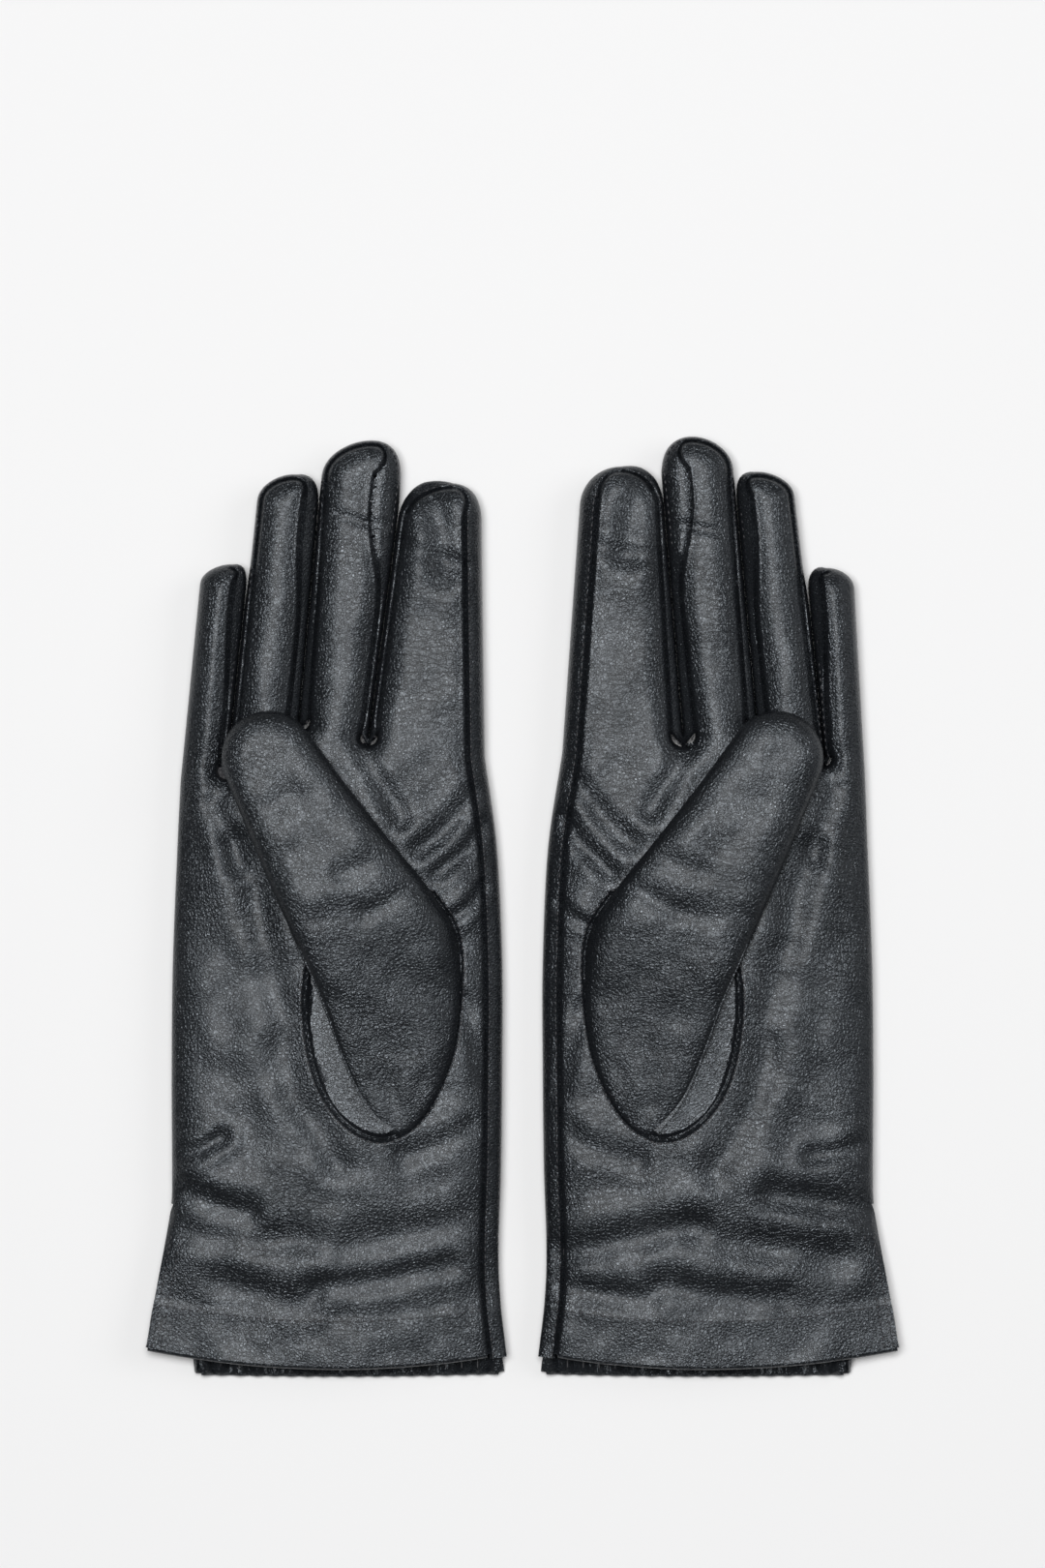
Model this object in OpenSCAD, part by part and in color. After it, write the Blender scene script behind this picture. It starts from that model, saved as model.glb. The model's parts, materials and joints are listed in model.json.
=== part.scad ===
// Pair of lined dress gloves, wrist length, lying palm up with the thumbs folded across the palms.
// X runs across the pair, +Y towards the fingertips, +Z up out of the palms.
// The origin is on the surface that the gloves lie on, below the middle of the pair.

/* [Hand size] */
// Flat width of the palm below the fingers
palm_w = 88; // [70:1:110]
// Length from the finger roots down to the palm hem
palm_l = 166.5; // [130:0.5:210]
// Length of the longest finger, from its root to its tip
finger_l = 81; // [66:0.5:100]
// Height of a glove as it lies, without the thumb
glove_h = 13; // [10.5:0.5:18]
// Gap between the two gloves at their hems
pair_gap = 8; // [2:0.5:40]

/* [Leather and lining] */
// Thickness of the leather
leather = 0.9; // [0.6:0.05:1.2]
// Thickness of the knitted lining
lining = 0.8; // [0.4:0.05:1.1]
// Slack between the leather and the lining
lining_slack = 0.1; // [0.05:0.05:0.2]
// Radius of the rounded edge between a leaf and a side strip
edge = 2.6; // [2:0.1:3]
// Half the open gap at each knuckle, where a finger end turns
knuckle_gap = 0.15; // [0.1:0.05:0.4]

/* [Thumb] */
// Height of the folded thumb
thumb_h = 9.6; // [8:0.2:12]
// Clearance between the folded thumb and the palm under it
thumb_clear = 0.5; // [0.4:0.1:1.5]
// Length from the thumb's crease to the middle of its round tip
thumb_l = 42; // [34:1:51]
// Half the width of the thumb at its crease
thumb_half = 17; // [14:0.5:19]
// Radius of the thumb's tip
thumb_tip_r = 12.5; // [10:0.5:14]
// Angle that the thumb leans towards the little finger
thumb_lean = 32; // [24:1:40]

/* [Cuff] */
// Depth of the turned hem
hem_turn = 13; // [8:0.5:18]
// How far the gathered back reaches past the palm hem
back_drop = 4.5; // [2:0.5:8]
// Length of the vent on the little-finger side
vent_l = 42; // [25:1:55]
// How far the vent flap flares out past the palm's side
vent_flare = 7; // [3:0.5:10]
// Width of the vent's facing
facing_w = 4.5; // [3:0.5:6]
// Width of the wrist elastic
elastic_w = 6; // [4:0.5:8]
// Thickness of the wrist elastic
elastic_t = 0.7; // [0.5:0.05:1]

/* [Thread] */
// Width of a seam's thread
thread_w = 0.6; // [0.4:0.1:1]
// Height that the thread stands proud
thread_h = 0.2; // [0.1:0.05:0.3]

/* [Hidden] */
$fn = 24;

// The pattern is drafted for this palm width, and graded to other widths in proportion.
draft_w = 88;
// The pattern's palm and finger lengths, graded in the same way.
draft_palm_l = 166.5;
draft_finger_l = 81;
grade = palm_w / draft_w;
palm_grade = palm_l / draft_palm_l;
finger_grade = finger_l / draft_finger_l;
function across(v) = v * grade;
function down(v) = -v * palm_grade;
function up(v) = v * finger_grade;

// The palm's rounded corners, for the linings: across, along and radius.
corner_r = across(10);
knuckle_r = across(8);
palm_corners = [
    [across(-34.2), down(115), corner_r], [across(33), down(115), corner_r],
    [across(34.2), down(61), corner_r], [across(-34.2), down(61), corner_r],
    [across(-34.5), down(21), knuckle_r], [across(-12), down(11), knuckle_r],
    [across(32), down(12), knuckle_r]];
hem_y = -palm_l;
back_hem_y = hem_y - back_drop;
past_hem = back_hem_y - 2 * corner_r;
cuff_corners = [palm_corners[0], palm_corners[1],
    [across(-34.2), past_hem, corner_r], [across(33), past_hem, corner_r]];
vent_top = hem_y + vent_l;
palm_side = across(44.5);
hem_side = across(45.6);
gathered_side = across(38.5);

// The palm's outline down the index side, and down the little-finger side to the vent.
index_side = [[hem_side, hem_y], [across(43.4), down(136)], [across(44), down(115)], [across(44.2), down(61)],
    [across(42.4), down(25)]];
little_side = [[across(-43.5), down(25)], [-palm_side, down(61)], [-palm_side, down(115)], [-palm_side, vent_top]];

// Each finger: root across and along, tip centre across and along, root half width, tip radius,
// and how far up its knuckle crease lies.
INDEX = 0; MIDDLE = 1; RING = 2; LITTLE = 3;
right_fingers = [
    [across(23.4), down(12), across(27.6), up(57.5), across(16.2), across(11), up(30)],
    [across(-2.0), down(12), across(6.3), up(69.5), across(8.2), across(10.6), up(36)],
    [across(-21.7), down(13), across(-13.6), up(62.8), across(7.9), across(8.1), up(32)],
    [across(-37.4), down(22), across(-31.0), up(40.8), across(5.8), across(6.0), up(16)]];
left_fingers = [
    [across(23.6), down(12), across(23.1), up(61.6), across(15.9), across(11.2), up(31)],
    [across(-5.0), down(12), across(2.6), up(71.4), across(8.1), across(9.6), up(36)],
    [across(-24.6), down(13), across(-15.8), up(64), across(7.9), across(7.7), up(32)],
    [across(-37.9), down(22), across(-33.6), up(39.8), across(5.1), across(5.9), up(16)]];
function fingers(left) = left ? left_fingers : right_fingers;
function root(f) = [f[0], f[1]];
function tip(f) = [f[2], f[3]];
function lean(f) = atan2(f[2] - f[0], f[3] - f[1]);
function long(f) = norm(tip(f) - root(f));
function knuckle_along(f) = (max(f[6], thumb_top + knuckle_room) - f[1]) / cos(lean(f));
function middle_at(f, d) = root(f) + d * [sin(lean(f)), cos(lean(f))];
function half_at(f, d) = f[4] + (f[5] - f[4]) * d / long(f);
function side_at(f, d, s) = middle_at(f, d) + s * half_at(f, d) * [cos(lean(f)), -sin(lean(f))];

// The thumb's crease, its oval in the palm and the room that it needs below the knuckles.
crease = [across(4), down(41)];
thumb_tip = crease + thumb_l * [-sin(thumb_lean), cos(thumb_lean)];
thumb_top = thumb_tip[1] + thumb_tip_r;
knuckle_room = 5;
oval_corners = [[across(12), down(88), across(19.5)], [across(18), down(57), across(15)]];
oval_fit = 0.05;
thumb_low = glove_h + thumb_clear;
thumb_edge = 3;
crease_corner_r = 6;
root_lip = 0.6;

// The pair's middle, so that the origin lies under it.
longest_tip = max([for (f = concat(right_fingers, left_fingers)) f[3] + f[5]]);
middle_y = (longest_tip + back_hem_y) / 2;
glove_x = hem_side + pair_gap / 2;
far = 4 * palm_l;
lining_out = leather + lining_slack;
lining_in = lining_out + lining;
join = 0.02;

leather_colour = [0.06, 0.065, 0.08];
side_colour = [0.09, 0.095, 0.11];
lining_colour = [0.16, 0.16, 0.17];
thread_colour = [0.02, 0.02, 0.025];
elastic_colour = [0.3, 0.3, 0.32];

// Puts a glove drawn with its index side at +X into the pair: the left-hand glove is mirrored.
module place(left) {
    translate([left ? glove_x : -glove_x, -middle_y, 0]) mirror([left ? 1 : 0, 0, 0]) children();
}

// A soft form on rounded corners, from low to high, with its upper and lower edges taken off.
module soft_form(corners, low, high, edge, inset) {
    hull() for (c = corners) translate([c[0], c[1], low + inset]) {
        translate([0, 0, edge]) cylinder(r = c[2] - inset, h = high - low - 2 * inset - 2 * edge);
        cylinder(r = c[2] - inset - edge, h = high - low - 2 * inset);
    }
}

// A finger's corners: two at the root and the round tip.
function finger_corners(f) = [
    let (r = min(f[4], across(6))) [root(f)[0] - f[4] + r, f[1], r],
    let (r = min(f[4], across(6))) [root(f)[0] + f[4] - r, f[1], r],
    [f[2], f[3], f[5]]];

// Everything on the near or the far side of a finger's knuckle crease.
module knuckle_side(f, beyond) {
    at = middle_at(f, knuckle_along(f));
    translate([at[0], at[1], 0]) rotate(-lean(f))
        translate([-far / 2, beyond ? knuckle_gap : -far - knuckle_gap, -far / 2]) cube(far);
}

module above(y) { translate([-far / 2, y, -far / 2]) cube(far); }

// The unit normal on the left of a step from a to b, which is the glove's inside all round its outline.
function inward(a, b) = [a[1] - b[1], b[0] - a[0]] / norm(b - a);

// The vector that moves a corner of a path inwards by one, for each point: start and end give the first and last.
function mitres(path, start, end) = [for (i = [0 : len(path) - 1])
    i == 0 ? start : i == len(path) - 1 ? end :
    let (n = inward(path[i - 1], path[i]), m = inward(path[i], path[i + 1])) (n + m) / (1 + n * m)];

// A run of the outline: its points and their inward vectors.
function run(path, start, end) = [path, mitres(path, start, end)];
function inset_run(r, by) = [for (i = [0 : len(r[0]) - 1]) r[0][i] + by * r[1][i]];

// The inward vector along a finger's knuckle crease, on its side s.
function at_knuckle(f, s) = let (c = [cos(lean(f)), -sin(lean(f))],
    n = inward(side_at(f, s > 0 ? 0 : long(f), s), side_at(f, s > 0 ? long(f) : 0, s))) -s * c / (-s * c * n);

// The end of a finger's side on the hand, just short of the knuckle crease.
function short_of_knuckle(f, s) = side_at(f, knuckle_along(f) - knuckle_gap, s);

// The bottom of the slit between a finger and the next one towards the little finger.
slit_depth = across(1);
function slit_along(f, y) = (y - f[1]) / cos(lean(f));
function slit(g, h, y) = let (
    a = side_at(g, slit_along(g, y + slit_depth), -1),
    b = side_at(h, slit_along(h, y + slit_depth), 1)) [a, (a + b) / 2 - [0, slit_depth], b];
slit_heights = [down(1), up(3), down(9)];

// The outline of a hand, in five runs from the hem round to the vent.
function runs(left) = let (f = fingers(left)) concat(
    [run(concat(index_side, [side_at(f[0], slit_along(f[0], down(4)), 1), short_of_knuckle(f[0], 1)]),
        inward(index_side[0], index_side[1]), at_knuckle(f[0], 1))],
    [for (i = [0 : 2]) run(concat([short_of_knuckle(f[i], -1)], slit(f[i], f[i + 1], slit_heights[i]),
        [short_of_knuckle(f[i + 1], 1)]), at_knuckle(f[i], -1), at_knuckle(f[i + 1], 1))],
    [run(concat([short_of_knuckle(f[3], -1), side_at(f[3], slit_along(f[3], down(10)), -1)], little_side),
        at_knuckle(f[3], -1), [1, 0])]);
SLIT_BOTTOM = 2;
SLIT_END = 4;

// The section of a side strip: how far in and how high, round its outside and back round its inside.
turns = [90 : -30 : 0];
function quarter(r, top) = [for (a = turns) [edge - r * cos(a), top - edge + r * sin(a)]];
function reversed(points) = [for (i = [len(points) - 1 : -1 : 0]) points[i]];
function upturned(points) = [for (p = points) [p[0], glove_h - p[1]]];
strip_section = let (outer = quarter(edge, glove_h), inner = quarter(edge - leather, glove_h))
    concat(outer, upturned(reversed(outer)), upturned(inner), reversed(inner));

// A side strip along a run of the outline, from one of its points to another.
module side_strip(left, run_number, first, last) {
    r = runs(left)[run_number];
    n = len(strip_section);
    steps = last - first;
    color(side_colour) place(left) polyhedron(
        points = [for (i = [first : last]) for (s = strip_section)
            concat(r[0][i] + s[0] * r[1][i], [s[1]])],
        faces = concat([for (j = [0 : n / 2 - 2]) [j, j + 1, n - 2 - j, n - 1 - j]],
            [for (j = [0 : n / 2 - 2]) steps * n * [1, 1, 1, 1] + [n - 1 - j, n - 2 - j, j + 1, j]],
            [for (i = [0 : steps - 1]) for (j = [0 : n - 1])
                [i * n + j, (i + 1) * n + j, (i + 1) * n + (j + 1) % n, i * n + (j + 1) % n]]));
}

// A leaf's outline: the runs drawn in by some distance, closed round the cuff.
function leaf_outline(left, cuff, by) = concat([for (r = runs(left)) each inset_run(r, by)], cuff);
palm_cuff = [[-palm_side, vent_top], [-palm_side - vent_flare, hem_y]];
back_cuff = [[-gathered_side, back_hem_y], [hem_side - edge, back_hem_y]];

module oval_plan(inset) {
    hull() for (c = oval_corners) translate([c[0], c[1]]) circle(r = c[2] - inset);
}

module palm_leaf(left) {
    color(leather_colour) place(left) translate([0, 0, glove_h - leather]) linear_extrude(leather)
        difference() {
            polygon(leaf_outline(left, palm_cuff, edge));
            oval_plan(0);
        }
}

module back_leaf(left) {
    color(leather_colour) place(left) linear_extrude(leather) polygon(leaf_outline(left, back_cuff, edge));
}

module index_side_wrap(left) { side_strip(left, 0, 0, len(index_side) + 1); }
module little_side_fold(left) { side_strip(left, 4, 0, len(little_side) + 1); }

// The two fourchettes of a slit, either side of its bottom: the one towards the index side comes first.
module fourchette(left, slit_number, little_way) {
    side_strip(left, slit_number + 1, little_way ? SLIT_BOTTOM : 0, little_way ? SLIT_END : SLIT_BOTTOM);
}

// The inside of the hand without its finger ends and thumb, drawn in by inset.
module hand_form(left, inset) {
    soft_form(palm_corners, 0, glove_h, edge, inset);
    soft_form(cuff_corners, 0, glove_h, edge, inset);
    for (f = fingers(left)) intersection() {
        soft_form(finger_corners(f), 0, glove_h, edge, inset);
        knuckle_side(f, false);
    }
}

module finger_shell(left, which, outer, inner) {
    f = fingers(left)[which];
    place(left) intersection() {
        difference() {
            soft_form(finger_corners(f), 0, glove_h, edge, outer);
            soft_form(finger_corners(f), 0, glove_h, edge, inner);
        }
        knuckle_side(f, true);
    }
}

module finger_end(left, which) { color(leather_colour) finger_shell(left, which, 0, leather); }
module end_lining(left, which) { color(lining_colour) finger_shell(left, which, lining_out, lining_in); }

// Thumb pieces are drawn along +Y from the crease, then turned into place.
module at_crease() { translate([crease[0], crease[1], 0]) rotate(thumb_lean) children(); }
thumb_corners = [[crease_corner_r - thumb_half, 0, crease_corner_r],
    [thumb_half - crease_corner_r, 0, crease_corner_r]];

module stall_form(inset) {
    start = [for (c = thumb_corners) [c[0], -crease_corner_r, c[2]]];
    soft_form(concat(start, [[0, thumb_l, thumb_tip_r]]), thumb_low, thumb_low + thumb_h, thumb_edge, inset);
}

// The thumb's section at the crease, through which the two thumb pieces meet.
module crease_section(inset, past) {
    intersection() {
        stall_form(inset);
        translate([-far / 2, -root_lip, 0]) cube([far, root_lip + past, far]);
    }
}

// The thumb's base: from the oval on the palm up to the crease.
module base_form(inset, past) {
    hull() {
        translate([0, 0, glove_h + join]) linear_extrude(max(root_lip - inset / 2, join)) oval_plan(inset);
        at_crease() crease_section(inset, past);
    }
}

module base_shell(outer, inner, low) {
    difference() {
        union() {
            base_form(outer, -knuckle_gap);
            translate([0, 0, low]) linear_extrude(glove_h + 2 * join - low) oval_plan(outer + oval_fit);
        }
        base_form(inner, 1);
        translate([0, 0, low - 1]) linear_extrude(glove_h + 3 * join - low + 1) oval_plan(inner + oval_fit);
        at_crease() translate([-far / 2, -knuckle_gap, 0]) cube(far);
    }
}

module thumb_base(left) {
    color(leather_colour) place(left) base_shell(0, leather, glove_h - leather);
}

module thumb_shell(outer, inner) {
    at_crease() intersection() {
        difference() {
            stall_form(outer);
            stall_form(inner);
        }
        above(knuckle_gap);
    }
}

module thumb_stall(left) { color(leather_colour) place(left) thumb_shell(0, leather); }
module thumb_lining(left) { color(lining_colour) place(left) thumb_shell(lining_out, lining_in); }

module thumb_base_lining(left) {
    color(lining_colour) place(left) base_shell(lining_out, lining_in, glove_h - lining_out);
}

module hand_lining(left) {
    color(lining_colour) place(left) difference() {
        intersection() {
            difference() {
                hand_form(left, lining_out);
                hand_form(left, lining_in);
            }
            above(hem_y + hem_turn + 2 * lining_slack);
        }
        translate([0, 0, glove_h / 2]) linear_extrude(glove_h) oval_plan(lining_in);
        translate([-palm_side - far, vent_top - far, lining_in])
            cube([far + 2 * edge, far, glove_h - 2 * lining_in]);
    }
}

// A band inside the cuff of a leaf, from its hem up by some depth.
module cuff_band(left, cuff, by, y, depth) {
    intersection() {
        polygon(leaf_outline(left, cuff, edge + by));
        translate([-far / 2, y]) square([far, depth]);
    }
}

module palm_hem(left) {
    color(leather_colour) place(left) translate([0, 0, glove_h - 2 * leather - lining_slack])
        linear_extrude(leather) cuff_band(left, palm_cuff, leather, hem_y, hem_turn);
}

module back_hem(left) {
    color(leather_colour) place(left) translate([0, 0, leather + elastic_t + 2 * lining_slack])
        linear_extrude(leather) cuff_band(left, back_cuff, leather, back_hem_y, hem_turn);
}

module wrist_elastic(left) {
    color(elastic_colour) place(left) translate([0, 0, leather + lining_slack])
        linear_extrude(elastic_t) cuff_band(left, back_cuff, leather, back_hem_y + leather, elastic_w);
}

module vent_facing(left) {
    low = hem_y + hem_turn + lining_slack;
    rise = (vent_top - low) / vent_l;
    color(side_colour) place(left) translate([0, 0, glove_h - 2 * leather - lining_slack]) linear_extrude(leather)
        polygon([[-palm_side - vent_flare * rise, low], [facing_w - palm_side - vent_flare * rise, low],
            [facing_w - palm_side - 1.5, vent_top], [-palm_side - 0.5, vent_top]]);
}

// Thread lies on the palm leaf, just inside the leaf's edge.
module side_seam(left) {
    r = runs(left)[0];
    color(thread_colour) place(left) translate([0, 0, glove_h]) linear_extrude(thread_h)
        polygon(concat(inset_run(r, edge), reversed(inset_run(r, edge + thread_w))));
}

module thumb_seam(left) {
    color(thread_colour) place(left) difference() {
        translate([0, 0, glove_h]) linear_extrude(thread_h) difference() {
            oval_plan(-thread_w - leather);
            oval_plan(-leather);
        }
        base_form(-2 * join, 0);
    }
}

module hem_seam(left) {
    color(thread_colour) place(left) translate([0, 0, glove_h]) linear_extrude(thread_h)
        translate([-palm_side, hem_y + hem_turn - 2 * leather])
            square([palm_side + hem_side - 2 * edge, thread_w]);
}

module show(name) {
    children();
}

for (left = [false, true]) {
    hand = left ? "left_" : "right_";
    show(str(hand, "palm_leaf")) palm_leaf(left);
    show(str(hand, "back_leaf")) back_leaf(left);
    show(str(hand, "index_side_wrap")) index_side_wrap(left);
    show(str(hand, "little_side_fold")) little_side_fold(left);
    show(str(hand, "index_fourchette")) fourchette(left, INDEX, false);
    show(str(hand, "middle_fourchette_index_side")) fourchette(left, INDEX, true);
    show(str(hand, "middle_fourchette_ring_side")) fourchette(left, MIDDLE, false);
    show(str(hand, "ring_fourchette_middle_side")) fourchette(left, MIDDLE, true);
    show(str(hand, "ring_fourchette_little_side")) fourchette(left, RING, false);
    show(str(hand, "little_fourchette")) fourchette(left, RING, true);
    show(str(hand, "thumb_base")) thumb_base(left);
    show(str(hand, "thumb_stall")) thumb_stall(left);
    show(str(hand, "thumb_base_lining")) thumb_base_lining(left);
    show(str(hand, "thumb_lining")) thumb_lining(left);
    show(str(hand, "hand_lining")) hand_lining(left);
    show(str(hand, "palm_hem")) palm_hem(left);
    show(str(hand, "back_hem")) back_hem(left);
    show(str(hand, "wrist_elastic")) wrist_elastic(left);
    show(str(hand, "vent_facing")) vent_facing(left);
    show(str(hand, "side_seam")) side_seam(left);
    show(str(hand, "thumb_seam")) thumb_seam(left);
    show(str(hand, "hem_seam")) hem_seam(left);
    show(str(hand, "index_finger_end")) finger_end(left, INDEX);
    show(str(hand, "middle_finger_end")) finger_end(left, MIDDLE);
    show(str(hand, "ring_finger_end")) finger_end(left, RING);
    show(str(hand, "little_finger_end")) finger_end(left, LITTLE);
    show(str(hand, "index_end_lining")) end_lining(left, INDEX);
    show(str(hand, "middle_end_lining")) end_lining(left, MIDDLE);
    show(str(hand, "ring_end_lining")) end_lining(left, RING);
    show(str(hand, "little_end_lining")) end_lining(left, LITTLE);
}
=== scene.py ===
# %% [markdown]
# # A pair of lined leather gloves
# The gloves lie palm up with their thumbs folded across the palms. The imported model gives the
# frame: where each glove lies, and where each finger and thumb bends. Everything seen is made here.

# %% Load the frame
import json
import math

import bmesh
import bpy
import numpy as np
from mathutils import Matrix, Vector, noise


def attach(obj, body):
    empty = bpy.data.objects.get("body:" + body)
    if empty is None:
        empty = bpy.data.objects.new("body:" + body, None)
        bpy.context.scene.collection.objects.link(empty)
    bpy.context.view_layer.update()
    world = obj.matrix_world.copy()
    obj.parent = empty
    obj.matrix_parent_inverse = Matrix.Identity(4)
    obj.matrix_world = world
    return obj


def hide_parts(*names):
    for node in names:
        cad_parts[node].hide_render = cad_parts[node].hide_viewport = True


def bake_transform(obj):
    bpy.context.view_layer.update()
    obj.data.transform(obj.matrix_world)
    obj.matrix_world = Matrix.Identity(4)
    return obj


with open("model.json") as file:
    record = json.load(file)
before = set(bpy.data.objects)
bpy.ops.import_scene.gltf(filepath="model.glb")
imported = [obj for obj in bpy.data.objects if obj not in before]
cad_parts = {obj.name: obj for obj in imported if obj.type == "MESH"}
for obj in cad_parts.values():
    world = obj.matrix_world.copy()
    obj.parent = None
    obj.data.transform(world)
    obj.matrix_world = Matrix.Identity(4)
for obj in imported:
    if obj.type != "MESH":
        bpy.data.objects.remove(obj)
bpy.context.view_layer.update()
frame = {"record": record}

record = frame["record"]
mounts = {m["name"]: m["pos_m"] for m in record["mounts"]}
MM = 0.001

# %% [markdown]
# ## The pattern
# A glover cuts a glove from a flat pattern. These are the few sizes of that pattern in millimetres,
# for one hand with its index side at +X. Y is measured from the line of the finger roots, and the
# left-hand glove is the same thing mirrored. Each finger has a root, the middle of its round tip,
# half its width at the root, and the radius of its tip. The fingers start 80 mm ahead of the point
# on which the palm rests.

# %% Pattern sizes
NAMES = ("index", "middle", "ring", "little")
FINGERS = {
    "right": ((23.4, -12, 27.6, 57.5, 16.2, 11.0), (-2.0, -12, 6.3, 69.5, 8.2, 10.6),
              (-21.7, -13, -13.6, 62.8, 7.9, 8.1), (-37.4, -22, -31.0, 40.8, 5.8, 6.0)),
    "left": ((23.6, -12, 23.1, 61.6, 15.9, 11.2), (-5.0, -12, 2.6, 71.4, 8.1, 9.6),
             (-24.6, -13, -15.8, 64.0, 7.9, 7.7), (-37.9, -22, -33.6, 39.8, 5.1, 5.9)),
}
TIP_SKEW = {"right": (2.6, 2.8, 1.8, 2.3), "left": (0.2, 1.6, 2.4, 1.3)}
SLITS = {"right": (-1.0, 3.5, -10.0), "left": (0.0, 3.5, -7.0)}
INDEX_SIDE = ((45.4, -166), (43.6, -150), (43.2, -136), (43.9, -115), (44.2, -88), (44.2, -61), (42.8, -30))
LITTLE_SIDE = ((-43.0, -28), (-44.3, -61), (-44.6, -90), (-44.5, -115), (-44.7, -125))
VENT_FLAP = ((-46.4, -136), (-49.0, -150), (-51.4, -164))
GATHERED = ((-43.6, -136), (-41.0, -150), (-38.6, -168))
OVAL = ((26, -42), (32, -52), (33, -66), (30.5, -85), (23, -101), (13.2, -107.5), (3, -104), (-5, -93),
        (-8.6, -76), (-7.5, -60), (0, -46), (13, -39))
MIDDLE_Z = 6.2
TOP_Z = 12.9
WRAP = 4.6
SEAM_IN = 1.35
TIP_IN = (0.0, 5.6, 2.2, 1.6)
GROOVE = 0.42
ROOTS_AHEAD = 80
glove_x = mounts["left_rest"][0] / MM
root_y = mounts["left_rest"][1] / MM + ROOTS_AHEAD
print("gloves lie", glove_x, "mm either side of the middle, finger roots at", root_y)


# %% [markdown]
# ## Curves and distances
# A cut edge is a smooth curve through a few points, so a Catmull-Rom curve stands in for the
# pattern maker's flexible ruler. The leather swells away from every edge and sinks at every seam,
# so the tool used most is the distance from a point of the leather to the nearest edge.

# %% Curve tools
BATCH = 4000


def smooth_curve(points, steps=12):
    """A Catmull-Rom curve through points."""
    p = [np.array(q, float) for q in points]
    p = [2 * p[0] - p[1]] + p + [2 * p[-1] - p[-2]]
    out = []
    for a, b, c, d in zip(p, p[1:], p[2:], p[3:]):
        for k in range(steps):
            t = k / steps
            out.append(0.5 * (2 * b + (c - a) * t + (2 * a - 5 * b + 4 * c - d) * t ** 2
                              + (3 * b - a - 3 * c + d) * t ** 3))
    return np.array(out + [p[-2]])


def along(curve, t):
    """Points at shares t of a curve's length."""
    steps = np.linalg.norm(np.diff(curve, axis=0), axis=1)
    s = np.concatenate([[0], np.cumsum(steps)])
    t = np.asarray(t, float) * s[-1]
    return np.stack([np.interp(t, s, curve[:, k]) for k in range(curve.shape[1])], -1)


def nearest(points, curves):
    """The distance from each point to the nearest of some curves."""
    best = np.full(len(points), 1e9)
    for curve in curves:
        a, b = curve[:-1], curve[1:]
        step = b - a
        size = np.maximum((step ** 2).sum(1), 1e-9)
        for lo in range(0, len(points), BATCH):
            p = points[lo:lo + BATCH, None, :2] - a[None]
            t = np.clip((p * step).sum(2) / size, 0, 1)
            d = np.linalg.norm(p - t[..., None] * step, axis=2)
            best[lo:lo + BATCH] = np.minimum(best[lo:lo + BATCH], d.min(1))
    return best


def ease(x, lo, hi):
    t = np.clip((x - lo) / (hi - lo), 0, 1)
    return t * t * (3 - 2 * t)


# %% [markdown]
# ## One hand's outline
# The outline runs up the index side, round each finger and slit, and down the little-finger side.
# The seams run inside it: a fourchette's seam lies just over the edge of its finger, the side seam
# lies further in, because the back leather comes round the index side, and the thumb's seam is an oval.

# %% A finger and a hand
INDEX_FROM, LITTLE_FROM = -4, -12


class Finger:
    def __init__(self, row):
        x0, y0, x1, y1, self.root_half, self.tip_r = row
        self.root = np.array((x0, y0), float)
        self.tip = np.array((x1, y1), float)
        self.length = float(np.linalg.norm(self.tip - self.root))
        self.up = (self.tip - self.root) / self.length
        self.out = np.array((self.up[1], -self.up[0]))

    def half(self, t):
        return self.root_half + (self.tip_r - self.root_half) * np.asarray(t) / self.length

    def side(self, t, s, inset=0.0):
        t = np.asarray(t, float)
        reach = (self.half(t) - inset) * s
        return self.root + t[..., None] * self.up + reach[..., None] * self.out

    def t_at(self, y):
        return (y - self.root[1]) / self.up[1]


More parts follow.
